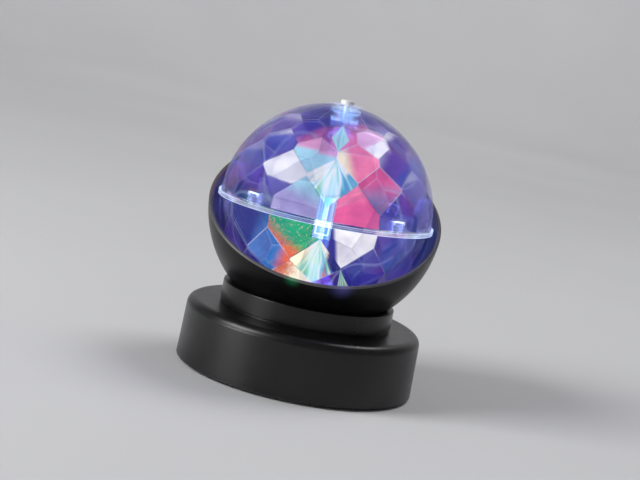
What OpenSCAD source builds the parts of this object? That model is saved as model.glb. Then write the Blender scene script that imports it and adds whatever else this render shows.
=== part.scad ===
// Kaleidoscope lamp: a clear ball with flat facets inside its wall turns slowly in an obliquely cut
// black bowl. Three coloured lights shine up through the mouth of the ball. A motor, its gears and
// three cells are in the round base. Sizes are in millimetres, the table is at z = 0 and the front
// is at -Y.

/* [Ball] */
// Outer radius of the clear ball
ball_r = 48.2; // [46:0.2:52]
// Wall of the ball at the middle of a facet
ball_wall = 3.2; // [2.8:0.1:4]
// Facets around the ball
facet_columns = 12; // [12:1:18]
// Rows of facets from the seam to the crown
facet_rows = 5; // [5:1:7]
// Radius of the mouth under the ball
mouth_r = 18; // [17:0.5:22]
// Width of the seam's flange inside the ball's outer surface
seam_w = 5.2; // [5:0.1:7]
// Reach of the seam's lip beyond the ball's outer surface
seam_lip = 1; // [0.5:0.1:2.5]
// Thickness of each half's seam flange
seam_h = 0.9; // [0.8:0.1:1.6]
// Seam clips on each half
clip_count = 4; // [2:1:6]
// Width of a seam clip's frame
clip_w = 6; // [5:0.5:9]
// Height of a seam clip's frame, from the seam
clip_h = 5.2; // [4.8:0.1:7]
// Thickness of the clips' bars and tongues
clip_t = 1.2; // [1:0.1:1.4]

/* [Crown and post] */
// Radius of the clear post up the middle
post_r = 3.5; // [3:0.1:4]
// Radius of the boss under the crown
boss_r = 5.2; // [5:0.1:6.6]
// Height of the boss under the crown
boss_h = 3.5; // [3:0.5:8]
// Thickness of the post's flange that carries the boss
post_flange_h = 1; // [0.8:0.1:2]
// Radius of the flat pad on the crown
crown_pad_r = 7; // [5:0.5:9]
// Radius of the crown screw's head
crown_head_r = 3; // [2.4:0.1:4]
// Height of the crown screw's head
crown_head_h = 1.8; // [1.2:0.1:3]

/* [Bowl] */
// Running gap between the ball and the bowl's floor
ball_gap = 1.2; // [0.8:0.1:2]
// Running gap between the seam's lip and the bowl's wall
lip_gap = 2; // [0.8:0.1:3]
// Wall of the bowl
bowl_wall = 1.8; // [1.4:0.1:3]
// Forward tilt of the bowl's rim, in degrees
bowl_tilt = 30; // [0:1:40]
// Bevel of the rim's two edges
rim_bevel = 0.5; // [0.2:0.1:0.6]
// Distance of the bowl's three bosses from the inside of the neck
bowl_boss_inset = 6.3; // [5:0.1:6.6]
// Radius of a bowl boss
bowl_boss_r = 3; // [2.6:0.1:3.4]

/* [Neck] */
// Outer radius of the neck collar
neck_r = 39.3; // [38.5:0.1:41]
// Wall of the neck collar
neck_wall = 3; // [2:0.1:3.4]
// Height of the neck collar above its shadow gap
neck_h = 8.7; // [8:0.1:12]
// Height of the shadow gap under the neck collar
shadow_gap = 1; // [0.5:0.1:1.4]
// Depth of the shadow gap under the neck collar
shadow_depth = 1; // [0.5:0.1:1.6]
// Rounding of the neck collar's two outer edges
neck_edge = 0.4; // [0.2:0.1:0.4]
// Thickness of the neck collar's inner flange
neck_flange_h = 1.6; // [1:0.1:2]

/* [Base] */
// Outer radius of the base at its foot
base_r = 54.4; // [53.6:0.2:60]
// Height of the base's top above the table
base_h = 28.6; // [28:0.2:36]
// Draft of the base's wall, in degrees
base_draft = 1.5; // [0.5:0.1:2.5]
// Rounding of the base's shoulder
shoulder_round = 4; // [3:0.5:6]
// Bevel of the base's bottom edge
base_edge = 0.5; // [0.2:0.1:0.8]
// Wall of the base shell
base_wall = 2; // [1.6:0.1:2.4]
// Thickness of the base plate and the battery door
plate_t = 1.8; // [1.6:0.1:2.2]
// Height of the feet below the base
foot_h = 1; // [0.8:0.1:2]
// Radius of a rubber foot
foot_r = 4.5; // [3:0.5:5]
// Depth of the recess that holds a foot
foot_recess = 0.6; // [0.4:0.1:0.8]

/* [Cells] */
// Radius of a cell
cell_r = 7.25; // [7:0.05:7.3]
// Length of a cell with its nub
cell_len = 50.5; // [49:0.1:51]
// Length of a contact spring
spring_len = 5; // [4:0.1:5.5]
// Wall of the battery well
well_wall = 1.6; // [1.4:0.1:2]
// Place of the middle cell, along Y
cell_row_y = -9.5; // [-11:0.1:-8]

/* [Gears and motor] */
// Module of all gears
gear_module = 0.5; // [0.48:0.01:0.52]
// Teeth of the motor's and the compound gears' pinions
pinion_teeth = 12; // [12:1:14]
// Teeth of the compound gears' wheels
wheel_teeth = 48; // [44:1:48]
// Teeth of the output gear
output_teeth = 60; // [54:1:62]
// Thickness of a gear wheel
gear_t = 1.6; // [1.2:0.1:1.8]
// Clear height between neighbouring gears
gear_gap = 0.25; // [0.2:0.05:0.4]
// Thickness of the gear deck
deck_t = 1.4; // [1.2:0.1:1.8]
// Radius of a gear pin
pin_r = 1; // [0.8:0.1:1.1]
// Radius of the spindle
shaft_r = 1.5; // [1.2:0.1:1.6]
// Radius of the motor's can
motor_r = 7.75; // [6:0.25:8]
// Width of the motor's can across its flats
motor_flat_w = 12; // [10:0.5:14]

/* [Lights] */
// Radius of the light board
board_r = 14.5; // [13.5:0.5:15]
// Thickness of the light board
board_t = 1.2; // [0.8:0.1:1.6]
// Height of the light board above the bowl's floor
board_lift = 5; // [4:0.5:8]
// Radius of a light's dome
led_r = 2.5; // [1.5:0.25:2.5]
// Height of a light above the board
led_h = 8.6; // [6:0.2:10]

/* [Switch] */
// Height of the switch above the table
switch_z = 12.5; // [10:0.5:16]
// Travel of the switch knob
switch_travel = 4; // [2:0.5:5]
// Width of the switch knob
knob_w = 4; // [3:0.5:5]
// Height of the switch knob
knob_h = 3; // [2.5:0.5:4]

/* [Fits] */
// Radial clearance of running shafts and pins
run_gap = 0.05; // [0.03:0.01:0.08]
// Clearance of fixed pieces around what they hold
fit_gap = 0.15; // [0.05:0.05:0.2]
// Clearance of screws in their threaded bores
thread_gap = 0.02; // [0.01:0.01:0.05]
// Clearance around the battery door
door_gap = 0.3; // [0.2:0.05:0.4]

/* [Hidden] */
$fn = 96;
ball_fn = 240;
cut = 0.1;

// Heights of the stack, from the table up
plate_top = foot_h + plate_t;
cell_z = plate_top + door_gap + cell_r;
deck_z = cell_z + cell_r + door_gap;
deck_top = deck_z + deck_t;
first_layer = deck_top + gear_gap;
second_layer = first_layer + gear_t + gear_gap;
third_layer = second_layer + gear_t + gear_gap;
gears_top = third_layer + gear_t;

// Ball, bowl and neck
bowl_in_r = ball_r + seam_lip + lip_gap;
bowl_r = bowl_in_r + bowl_wall;
neck_in_r = neck_r - neck_wall;
seat_drop = sqrt(pow(bowl_r, 2) - pow(neck_in_r - fit_gap, 2));
floor_drop = sqrt(pow(ball_r, 2) - pow(mouth_r, 2)) + ball_gap;
bush_flange_h = 0.8;
hub_rise = 1;
lowest_floor = gears_top + hub_rise + gear_gap + bush_flange_h + bowl_wall;
neck_top = max(base_h + shadow_gap + neck_h, lowest_floor + floor_drop - seat_drop);
ball_z = neck_top + seat_drop;
floor_top = ball_z - floor_drop;
floor_z = floor_top - bowl_wall;
base_hole_r = bowl_r_at(base_h) + 2 * ball_gap;
bowl_boss_ring = neck_in_r - bowl_boss_inset;
bowl_boss_from = 90;
facet_r = ball_r - ball_wall;
crown_rows = 1.25;
facet_step = 90 / (facet_rows + crown_rows);
seam_in_r = ball_r - seam_w;
crown_rise = 0.2;
crown_z = ball_r + crown_rise;

// Base wall: its slanted line touches the shoulder's circle
shoulder_z = base_h - shoulder_round;
shoulder_x = base_r - shoulder_round * cos(base_draft)
    - (shoulder_z + shoulder_round * sin(base_draft) - foot_h) * tan(base_draft);
plate_r = wall_x(plate_top, base_wall) - fit_gap;

// Screws: head radius, head height, shank radius
screw_head_r = 2.3;
screw_head_h = 1.4;
screw_r = 1.25;
screw_len = 8;
small_head_r = 1.6;
small_head_h = 0.9;
small_screw_r = 0.8;
small_screw_len = 4;
base_post_r = 3;
base_post_inset = 2.2;
base_post_ring = plate_r - base_post_r - base_post_inset;
base_post_angles = [62, 118, 250, 290];
plate_boss_h = 1.6;
foot_inset = 1.6;
foot_ring = plate_r - foot_r - foot_inset;
foot_angles = [30, 150, 270];

// Battery well, cells and contacts
cell_gap = 0.6;
cell_side_gap = 0.35;
cell_pitch = 2 * cell_r + cell_gap;
cell_nub_r = 2.75;
cell_nub_h = 1.3;
contact_t = 0.4;
contact_rim = 1;
well_x = (cell_len + spring_len) / 2 + contact_t + fit_gap;
well_half_y = cell_pitch + cell_r + cell_side_gap;
well_y0 = cell_row_y - well_half_y;
well_y1 = cell_row_y + well_half_y;
door_lip = 1;
door_x = well_x + door_lip - door_gap;
hinge_r = plate_t / 2;
hinge_y = well_y1 + door_lip - door_gap - hinge_r;
hinge_z = foot_h + hinge_r;
hinge_pin_r = 0.55;
hinge_pin_x = well_x + door_lip + 1.5;
groove_count = 3;
groove_first = 3;
groove_pitch = 2.4;
groove_w = 1.2;
latch_w = 12;
latch_h = 3.4;
latch_t = 1.2;

// Gear deck
deck_half_x = 36;
deck_wall_gap = 1.5;
deck_r = wall_x(deck_top, base_wall) - deck_wall_gap;
deck_post_x = 29;
deck_post_y = 30;
deck_post_r = 3;
deck_y1 = deck_post_y + deck_post_r;
deck_ear_out = 2.4;
deck_ear_x = well_x + well_wall + deck_ear_out;
deck_points = [
    [-deck_post_x, deck_post_y], [deck_post_x, deck_post_y],
    [-deck_ear_x, cell_row_y], [deck_ear_x, cell_row_y]
];
deck_boss_wall = 2;
deck_boss_r = shaft_r + deck_boss_wall;

// Gear places: each axis lies at the pitch distance from the one that it drives
tooth_share = 0.43;
tip_share = 0.8;
root_share = 1.05;
pressure_angle = 20;
second_dir = 20;
first_dir = 100;
motor_dir = 160;
second_at = pitch_gap(output_teeth, pinion_teeth) * [cos(second_dir), sin(second_dir)];
first_at = second_at + pitch_gap(wheel_teeth, pinion_teeth) * [cos(first_dir), sin(first_dir)];
motor_at = first_at + pitch_gap(wheel_teeth, pinion_teeth) * [cos(motor_dir), sin(motor_dir)];
second_turn = mesh_turn(output_teeth, 0, second_dir, pinion_teeth);
first_turn = mesh_turn(wheel_teeth, second_turn, first_dir, pinion_teeth);
motor_turn = mesh_turn(wheel_teeth, first_turn, motor_dir, pinion_teeth);
hub_wall = 1;
hub_r = pin_r + hub_wall;
pin_head_r = pin_r + 0.8;
pin_head_h = 0.5;
motor_lift = 0.5;
motor_boss_r = 3;
motor_boss_h = 1;
motor_shaft_r = 1;
motor_shaft_depth = 10;
motor_screw_x = 5;

// Spindle and its bush in the bowl's floor
bush_wall = 1.5;
bush_r = shaft_r + bush_wall;
bush_flange_w = 1.2;
bush_flange_r = bush_r + bush_flange_w;
shaft_grip = 12;
board_z = floor_top + board_lift;
board_top = board_z + board_t;
post_lift = 2;
post_z = board_top + post_lift;
post_flange_w = 0.8;
crown_top = ball_z + crown_z;
boss_z = ball_z + facet_r - boss_h;
socket_roof = 1;
socket_top = ball_z + facet_r - socket_roof;
crown_screw_len = 14;

// Light board: the directions of the first light, stand-off and resistor, and the post's clearance
led_from = 90;
stand_from = led_from - 60;
resistor_from = led_from - 30;
board_post_gap = 1;
stand_ring = 11.5;
stand_r = 2.2;
led_ring = 9;
led_flange_w = 0.4;
led_flange_r = led_r + led_flange_w;
led_flange_h = 1;
lead_w = 0.5;
lead_below = 1.6;
resistor_r = 0.9;
resistor_len = 4;
resistor_ring = led_ring + 1;

// Switch in the rear wall
pad_w = 21;
pad_h = 8;
pad_depth = 3.1;
pad_y = wall_x(switch_z, base_wall) - pad_depth;
recess_depth = 1.5;
recess_y = wall_x(switch_z, 0) - recess_depth;
recess_w = 14;
recess_h = 6.5;
frame_w = 12;
frame_h = 5.4;
frame_depth = 5;
ear_w = 19;
ear_t = 0.6;
ear_screw_x = 8;
terminal_pitch = 3.5;
terminal_w = 1;
terminal_t = 0.4;
terminal_len = 3;
knob_out = 1;
slot_w = knob_w + switch_travel + 2 * door_gap;
slot_h = knob_h + 2 * door_gap;

function bowl_r_at(z) = sqrt(pow(bowl_r, 2) - pow(ball_z - z, 2));
function wall_x(z, inset) = shoulder_x + (shoulder_round - inset) * cos(base_draft)
    + (shoulder_z + (shoulder_round - inset) * sin(base_draft) - z) * tan(base_draft);
function around(r, a) = r * [cos(a), sin(a)];

// Gears: distance of two meshing axes, and the turn that puts a tooth into the driver's gap
function pitch_gap(n_a, n_b) = gear_module * (n_a + n_b) / 2;
function mesh_turn(n_a, turn_a, dir, n_b) =
    dir + 180 - (0.5 - (dir - turn_a) * n_a / 360) * 360 / n_b;

// Angle of the involute at radius r of a base circle, in degrees
function involute(r, base) = sqrt(pow(r / base, 2) - 1) * 180 / PI - acos(base / r);
function tooth_half(r, pitch, base, n) =
    180 * tooth_share / n + involute(pitch, base) - involute(r, base);
function gear_points(n) =
    let (
        pitch = gear_module * n / 2,
        base = pitch * cos(pressure_angle),
        root = pitch - root_share * gear_module,
        tip = pitch + tip_share * gear_module,
        start = max(root, base + 0.001),
        flank = [for (i = [0 : 3]) start + (tip - start) * i / 3],
        rise = [for (r = flank) [r, -tooth_half(r, pitch, base, n)]],
        fall = [for (i = [3 : -1 : 0]) [flank[i], tooth_half(flank[i], pitch, base, n)]],
        foot = tooth_half(start, pitch, base, n),
        tooth = concat([[root - 0.01, -foot]], rise, fall, [[root - 0.01, foot]])
    )
    [for (i = [0 : n - 1]) for (p = tooth) around(p[0], p[1] + 360 * i / n)];

module gear_body(n, h) {
    linear_extrude(h) polygon(gear_points(n));
}

module ring_of(count, r, start) {
    for (i = [0 : count - 1]) rotate(start + 360 * i / count) translate([r, 0, 0]) children();
}

module at_points(points) {
    for (p = points) translate([p[0], p[1], 0]) children();
}

// A screw that points up, with the underside of its head at z = 0
module screw(head_r, head_h, r, length) {
    translate([0, 0, -head_h]) cylinder(r = head_r, h = head_h);
    cylinder(r = r, h = length);
}

module plate_screw() {
    screw(screw_head_r, screw_head_h, screw_r, screw_len);
}

module small_screw() {
    screw(small_head_r, small_head_h, small_screw_r, small_screw_len);
}

module base_posts_at() {
    at_points([for (a = base_post_angles) around(base_post_ring, a)]) children();
}

module feet_at() {
    at_points([for (a = foot_angles) around(foot_ring, a)]) children();
}

// Half section of the base, drawn in from its outside by inset
module base_outline(inset, bottom) {
    round_r = shoulder_round - inset;
    polygon([
        [0, bottom],
        [wall_x(bottom, inset), bottom],
        [shoulder_x + round_r * cos(base_draft), shoulder_z + round_r * sin(base_draft)],
        [shoulder_x, shoulder_z + round_r],
        [0, shoulder_z + round_r]
    ]);
    translate([shoulder_x, shoulder_z]) circle(round_r);
}

// Cut that bevels the base's bottom edge
module base_edge_cut() {
    foot_x = wall_x(foot_h, 0);
    rotate_extrude() polygon([
        [foot_x - base_edge - cut, foot_h - cut],
        [foot_x + cut, foot_h - cut],
        [foot_x + cut, foot_h + base_edge + cut]
    ]);
}

module switch_pad() {
    intersection() {
        rotate_extrude() base_outline(base_wall / 2, foot_h);
        translate([-pad_w / 2, pad_y, switch_z - pad_h / 2]) cube([pad_w, base_r, pad_h]);
    }
}

module switch_cutouts() {
    translate([-slot_w / 2, pad_y - cut, switch_z - slot_h / 2]) cube([slot_w, base_r, slot_h]);
    translate([-recess_w / 2, recess_y, switch_z - recess_h / 2]) cube([recess_w, base_r, recess_h]);
    for (side = [-1, 1])
        translate([side * ear_screw_x, pad_y - cut, switch_z]) rotate([-90, 0, 0])
            cylinder(r = small_screw_r + thread_gap, h = small_screw_len - ear_t + 2 * cut);
}

module base_shell() {
    color("#1d1d20") difference() {
        union() {
            difference() {
                rotate_extrude() base_outline(0, foot_h);
                rotate_extrude() base_outline(base_wall, foot_h - 1);
            }
            base_posts_at() translate([0, 0, plate_top + plate_boss_h])
                cylinder(r = base_post_r, h = base_h - base_wall / 2 - plate_top - plate_boss_h);
            switch_pad();
        }
        translate([0, 0, base_h - 2 * base_wall]) cylinder(r = base_hole_r, h = 3 * base_wall);
        base_posts_at() translate([0, 0, foot_h])
            cylinder(r = screw_r + thread_gap, h = plate_t + plate_boss_h + screw_len);
        ring_of(3, bowl_boss_ring, bowl_boss_from) translate([0, 0, base_h - 2 * base_wall])
            cylinder(r = screw_r + fit_gap, h = 3 * base_wall);
        base_edge_cut();
        switch_cutouts();
    }
}

module well_walls() {
    difference() {
        translate([-well_x - well_wall, well_y0 - well_wall, foot_h])
            cube([2 * (well_x + well_wall), 2 * (well_half_y + well_wall), deck_z - foot_h]);
        translate([-well_x, well_y0, foot_h - cut])
            cube([2 * well_x, 2 * well_half_y, deck_z]);
    }
}

// A bar along the door's hinge line, from -reach to reach
module along_hinge(reach) {
    translate([-reach, hinge_y, hinge_z]) rotate([90, 0, 90]) linear_extrude(2 * reach) children();
}

module base_plate() {
    color("#232326") difference() {
        union() {
            translate([0, 0, foot_h]) cylinder(r = plate_r, h = plate_t);
            well_walls();
            base_posts_at() translate([0, 0, foot_h]) cylinder(r = base_post_r, h = plate_t + plate_boss_h);
            at_points(deck_points) translate([0, 0, foot_h]) cylinder(r = deck_post_r, h = deck_z - foot_h);
        }
        translate([-well_x, well_y0, foot_h - cut]) cube([2 * well_x, 2 * well_half_y, deck_z]);
        translate([-well_x - door_lip, well_y0 - door_lip, foot_h - cut])
            cube([2 * (well_x + door_lip), 2 * (well_half_y + door_lip), plate_t + cut]);
        along_hinge(hinge_pin_x + fit_gap) circle(hinge_pin_r + run_gap);
        translate([-latch_w / 2 - door_gap, well_y0 - well_wall - cut, plate_top])
            cube([latch_w + 2 * door_gap, well_wall + 2 * cut, latch_h + door_gap]);
        feet_at() translate([0, 0, foot_h - cut]) cylinder(r = foot_r + fit_gap, h = foot_recess + cut);
        base_posts_at() {
            translate([0, 0, foot_h - cut])
                cylinder(r = screw_head_r + fit_gap, h = screw_head_h + fit_gap + cut);
            translate([0, 0, foot_h]) cylinder(r = screw_r + fit_gap, h = plate_t + plate_boss_h + cut);
        }
        at_points(deck_points) translate([0, 0, deck_top - screw_len - fit_gap])
            cylinder(r = screw_r + thread_gap, h = screw_len);
    }
}

module base_screws() {
    color("silver") base_posts_at() translate([0, 0, foot_h + screw_head_h + fit_gap]) plate_screw();
}

module rubber_feet() {
    color("#101010") feet_at() cylinder(r = foot_r, h = foot_h + foot_recess);
}

// The door turns on two pins at the ends of its round rear edge, and a latch holds its front edge
module battery_door() {
    door_y = well_y0 - door_lip + door_gap;
    latch_y = well_y0 + door_gap;
    color("#232326") {
        difference() {
            translate([-door_x, door_y, foot_h]) cube([2 * door_x, hinge_y - door_y, plate_t]);
            for (i = [0 : groove_count - 1])
                translate([-latch_w / 2, well_y0 + groove_first + groove_pitch * i, foot_h - cut])
                    cube([latch_w, groove_w, plate_t / 4 + cut]);
        }
        along_hinge(door_x) circle(hinge_r);
        along_hinge(hinge_pin_x) circle(hinge_pin_r);
        translate([-latch_w / 2, latch_y, plate_top - cut]) cube([latch_w, latch_t, latch_h + cut]);
        translate([-latch_w / 2, latch_y - door_lip + door_gap, plate_top + latch_h / 2])
            cube([latch_w, door_lip, latch_h / 4]);
    }
}

// Cells lie along X in turn, each with its nub on a contact plate and its flat end on a spring
function nub_side(i) = i == 1 ? -1 : 1;
function cell_y(i) = cell_row_y + (i - 1) * cell_pitch;

module facing_cells() {
    for (i = [0 : 2]) translate([0, cell_y(i), cell_z]) rotate(nub_side(i) > 0 ? 0 : 180) children();
}

module battery_cells() {
    nub_x = well_x - contact_t - fit_gap;
    color("#8d9095") facing_cells() translate([nub_x, 0, 0]) rotate([0, -90, 0]) {
        cylinder(r = cell_nub_r, h = cell_len);
        translate([0, 0, cell_nub_h]) cylinder(r = cell_r, h = cell_len - cell_nub_h);
    }
}

// A conical helix along X, swept as one tube: turns, step and sides of the wire
spring_turns = 3;
spring_steps = 8;
spring_sides = 6;
spring_wire = 0.4;
spring_r0 = 4;
spring_r1 = 2.5;

function spring_point(t) =
    let (r = spring_r0 + (spring_r1 - spring_r0) * t, a = 360 * spring_turns * t)
    [spring_wire + (spring_len - 2 * spring_wire) * t, r * cos(a), r * sin(a)];
function unit(v) = v / norm(v);
function spring_ring(t) =
    let (
        a = 360 * spring_turns * t,
        out = [0, cos(a), sin(a)],
        along = unit(spring_point(t + 0.001) - spring_point(t - 0.001)),
        across = unit(cross(along, out)),
        up = cross(across, along)
    )
    [for (k = [0 : spring_sides - 1])
        spring_point(t) + spring_wire * (cos(360 * k / spring_sides) * up
            + sin(360 * k / spring_sides) * across)];

module contact_spring() {
    last = spring_turns * spring_steps;
    rings = [for (i = [0 : last]) each spring_ring(i / last)];
    sides = [for (i = [0 : last - 1]) for (k = [0 : spring_sides - 1])
        let (a = i * spring_sides + k, b = i * spring_sides + (k + 1) % spring_sides)
        each [[a, a + spring_sides, b], [b, a + spring_sides, b + spring_sides]]];
    ends = [
        [for (k = [0 : spring_sides - 1]) k],
        [for (k = [spring_sides - 1 : -1 : 0]) last * spring_sides + k]
    ];
    polyhedron(rings, concat(sides, ends));
}

module contact_springs() {
    color("silver") facing_cells() translate([contact_t - well_x, 0, 0]) contact_spring();
}

module contact_plate(side, first, last) {
    reach = spring_r0 + contact_rim;
    width = cell_y(last) - cell_y(first) + 2 * reach;
    translate([side > 0 ? well_x - contact_t : -well_x, cell_y(first) - reach, cell_z - reach])
        cube([contact_t, width, 2 * reach]);
}

module contact_plates() {
    color("silver") {
        contact_plate(1, 0, 1);
        contact_plate(1, 2, 2);
        contact_plate(-1, 0, 0);
        contact_plate(-1, 1, 2);
    }
}

module switch_frame() {
    color("#9a9a9a") difference() {
        union() {
            translate([-frame_w / 2, pad_y - frame_depth, switch_z - frame_h / 2])
                cube([frame_w, frame_depth, frame_h]);
            translate([-ear_w / 2, pad_y - ear_t, switch_z - frame_h / 2]) cube([ear_w, ear_t, frame_h]);
        }
        translate([-slot_w / 2, pad_y - frame_depth / 2, switch_z - slot_h / 2])
            cube([slot_w, frame_depth, slot_h]);
        for (side = [-1, 1]) translate([side * ear_screw_x, pad_y + cut, switch_z]) rotate([90, 0, 0])
            cylinder(r = small_screw_r + fit_gap, h = ear_t + 2 * cut);
    }
}

module switch_terminals() {
    color("goldenrod") for (i = [-1 : 1])
        translate([
            terminal_pitch * i - terminal_w / 2, pad_y - frame_depth - terminal_len, switch_z - terminal_t / 2
        ]) cube([terminal_w, terminal_len, terminal_t]);
}

// The knob rests at the end where the lamp is on
module switch_knob() {
    knob_y = pad_y - frame_depth / 2 + door_gap;
    knob_end = wall_x(switch_z, 0) - knob_out / 2;
    color("#2b2b2e") translate([-switch_travel / 2 - knob_w / 2, knob_y, switch_z - knob_h / 2])
        cube([knob_w, knob_end - knob_y, knob_h]);
}

module switch_screws() {
    color("silver") for (side = [-1, 1])
        translate([side * ear_screw_x, pad_y - ear_t, switch_z]) rotate([-90, 0, 0]) small_screw();
}

module deck_outline() {
    intersection() {
        translate([-deck_half_x, well_y0 - well_wall])
            square([2 * deck_half_x, deck_y1 - well_y0 + well_wall]);
        circle(deck_r);
    }
}

// The motor's own frame: its screws lie along X, square to the line to the gear that it drives
module at_motor() {
    at_points([motor_at]) rotate(motor_dir + 90) children();
}

module at_motor_screws() {
    at_motor() for (side = [-1, 1]) translate([side * motor_screw_x, 0, 0]) children();
}

module gear_deck() {
    color("#d8d4c8") difference() {
        union() {
            translate([0, 0, deck_z]) linear_extrude(deck_t) deck_outline();
            translate([0, 0, deck_z]) cylinder(r = deck_boss_r, h = third_layer - gear_gap - deck_z);
        }
        translate([0, 0, deck_z - cut]) cylinder(r = shaft_r + run_gap, h = gears_top);
        at_points([first_at, second_at]) translate([0, 0, deck_z - cut])
            cylinder(r = pin_r + thread_gap, h = deck_t + 2 * cut);
        at_points(deck_points) translate([0, 0, deck_z - cut])
            cylinder(r = screw_r + fit_gap, h = deck_t + 2 * cut);
        at_motor() translate([0, 0, deck_z - cut])
            cylinder(r = motor_boss_r + fit_gap, h = deck_t + 2 * cut);
        at_motor_screws() translate([0, 0, deck_z - cut])
            cylinder(r = small_screw_r + fit_gap, h = deck_t + 2 * cut);
    }
}

module deck_screws() {
    color("silver") at_points(deck_points) translate([0, 0, deck_top]) rotate([180, 0, 0]) plate_screw();
}

module motor_can() {
    can_z = plate_top + motor_lift;
    color("#b9bcc0") difference() {
        at_motor() {
            intersection() {
                translate([0, 0, can_z]) cylinder(r = motor_r, h = deck_z - can_z);
                translate([-motor_r, -motor_flat_w / 2, can_z]) cube([2 * motor_r, motor_flat_w, deck_z]);
            }
            translate([0, 0, deck_z - cut]) cylinder(r = motor_boss_r, h = motor_boss_h + cut);
        }
        at_motor() translate([0, 0, deck_z - motor_shaft_depth])
            cylinder(r = motor_shaft_r + run_gap, h = motor_shaft_depth + motor_boss_h + cut);
        at_motor_screws() translate([0, 0, deck_top - small_screw_len - fit_gap])
            cylinder(r = small_screw_r + thread_gap, h = small_screw_len);
    }
}

module motor_screws() {
    color("silver") at_motor_screws() translate([0, 0, deck_top]) rotate([180, 0, 0]) small_screw();
}

module motor_shaft() {
    shaft_z = deck_z - motor_shaft_depth + run_gap;
    color("silver") at_points([motor_at]) translate([0, 0, shaft_z])
        cylinder(r = motor_shaft_r, h = first_layer + gear_t - shaft_z);
}

module motor_pinion() {
    color("#e8d9a0") at_points([motor_at]) difference() {
        translate([0, 0, first_layer]) rotate(motor_turn) gear_body(pinion_teeth, gear_t);
        translate([0, 0, deck_z]) cylinder(r = motor_shaft_r + thread_gap, h = gears_top);
    }
}

// A wheel with a pinion on top of it, on a fixed pin, with its hub down to the deck
module compound_gear(place, turn, layer) {
    at_points([place]) difference() {
        union() {
            translate([0, 0, layer]) rotate(turn) gear_body(wheel_teeth, gear_t);
            translate([0, 0, layer + gear_t - cut]) rotate(turn)
                gear_body(pinion_teeth, gear_t + gear_gap + cut);
            translate([0, 0, deck_top + gear_gap / 2])
                cylinder(r = hub_r, h = layer - deck_top - gear_gap / 2 + cut);
        }
        translate([0, 0, deck_z]) cylinder(r = pin_r + run_gap, h = gears_top);
    }
}

module first_gear() {
    color("#f1efe6") compound_gear(first_at, first_turn, first_layer);
}

module second_gear() {
    color("#dfe7ee") compound_gear(second_at, second_turn, second_layer);
}

module gear_pin(top) {
    translate([0, 0, deck_z]) cylinder(r = pin_r, h = top - deck_z + cut);
    translate([0, 0, top]) cylinder(r = pin_head_r, h = pin_head_h);
}

module gear_pins() {
    color("silver") {
        at_points([first_at]) gear_pin(third_layer - gear_gap / 2);
        at_points([second_at]) gear_pin(gears_top + gear_gap / 2);
    }
}

module output_gear() {
    hub_top = floor_z - bush_flange_h - gear_gap;
    color("#f1efe6") difference() {
        union() {
            translate([0, 0, third_layer]) gear_body(output_teeth, gear_t);
            translate([0, 0, third_layer - gear_gap / 2])
                cylinder(r = deck_boss_r, h = hub_top - third_layer + gear_gap / 2);
        }
        translate([0, 0, deck_z]) cylinder(r = shaft_r + thread_gap, h = ball_z);
    }
}

module spindle_shaft() {
    color("silver") translate([0, 0, deck_z]) cylinder(r = shaft_r, h = post_z + shaft_grip - deck_z);
}

module floor_bush() {
    color("goldenrod") difference() {
        union() {
            translate([0, 0, floor_z - bush_flange_h]) cylinder(r = bush_flange_r, h = bush_flange_h);
            translate([0, 0, floor_z - bush_flange_h])
                cylinder(r = bush_r, h = bowl_wall + 2 * bush_flange_h);
        }
        translate([0, 0, floor_z - gears_top]) cylinder(r = shaft_r + run_gap, h = ball_z);
    }
}

module neck_profile() {
    flange_in_r = bowl_boss_ring + bowl_boss_r + fit_gap;
    edge_x = neck_r - neck_edge;
    lip_z = base_h + shadow_gap;
    polygon([
        [flange_in_r, base_h],
        [neck_r - shadow_depth, base_h],
        [neck_r - shadow_depth, lip_z],
        [edge_x, lip_z],
        [neck_r, lip_z + neck_edge],
        [neck_r, neck_top - neck_edge],
        [edge_x, neck_top],
        [neck_in_r, neck_top],
        [neck_in_r, base_h + neck_flange_h],
        [flange_in_r, base_h + neck_flange_h]
    ]);
    for (z = [lip_z + neck_edge, neck_top - neck_edge])
        translate([edge_x, z]) circle(neck_edge);
}

module neck_collar() {
    color("#18181a") rotate_extrude() neck_profile();
}

// Outside of the bowl in its own upright frame: a ball cut flat, with the outer bevel of its rim
module bowl_body() {
    intersection() {
        sphere(bowl_r);
        translate([0, 0, -2 * bowl_r])
            cylinder(r1 = 3 * bowl_r - rim_bevel, r2 = bowl_r - rim_bevel, h = 2 * bowl_r);
    }
}

// Hollow of the bowl in the same frame, with the inner bevel of its rim
module bowl_hollow() {
    sphere(bowl_in_r);
    translate([0, 0, -2 * rim_bevel])
        cylinder(r1 = bowl_in_r - rim_bevel, r2 = bowl_in_r + 2 * rim_bevel, h = 3 * rim_bevel);
}

module tilted() {
    translate([0, 0, ball_z]) rotate([bowl_tilt, 0, 0]) children();
}

module bowl() {
    color("#161618") difference() {
        union() {
            tilted() bowl_body();
            ring_of(3, bowl_boss_ring, bowl_boss_from) translate([0, 0, base_h])
                cylinder(r = bowl_boss_r, h = neck_top - base_h);
        }
        intersection() {
            tilted() bowl_hollow();
            translate([-2 * bowl_r, -2 * bowl_r, floor_top]) cube(4 * bowl_r);
        }
        translate([-bowl_r, -bowl_r, floor_z - 2 * bowl_r]) cube(2 * bowl_r);
        translate([0, 0, floor_z - cut]) cylinder(r = bush_r + fit_gap, h = bowl_wall + 2 * cut);
        ring_of(3, bowl_boss_ring, bowl_boss_from) translate([0, 0, base_h - cut])
            cylinder(r = screw_r + thread_gap, h = screw_len - base_wall + 2 * cut);
    }
    color("#161618") ring_of(3, stand_ring, stand_from) difference() {
        translate([0, 0, floor_top - cut]) cylinder(r = stand_r, h = board_lift + cut);
        translate([0, 0, board_top - small_screw_len - fit_gap])
            cylinder(r = small_screw_r + thread_gap, h = small_screw_len);
    }
}

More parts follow.
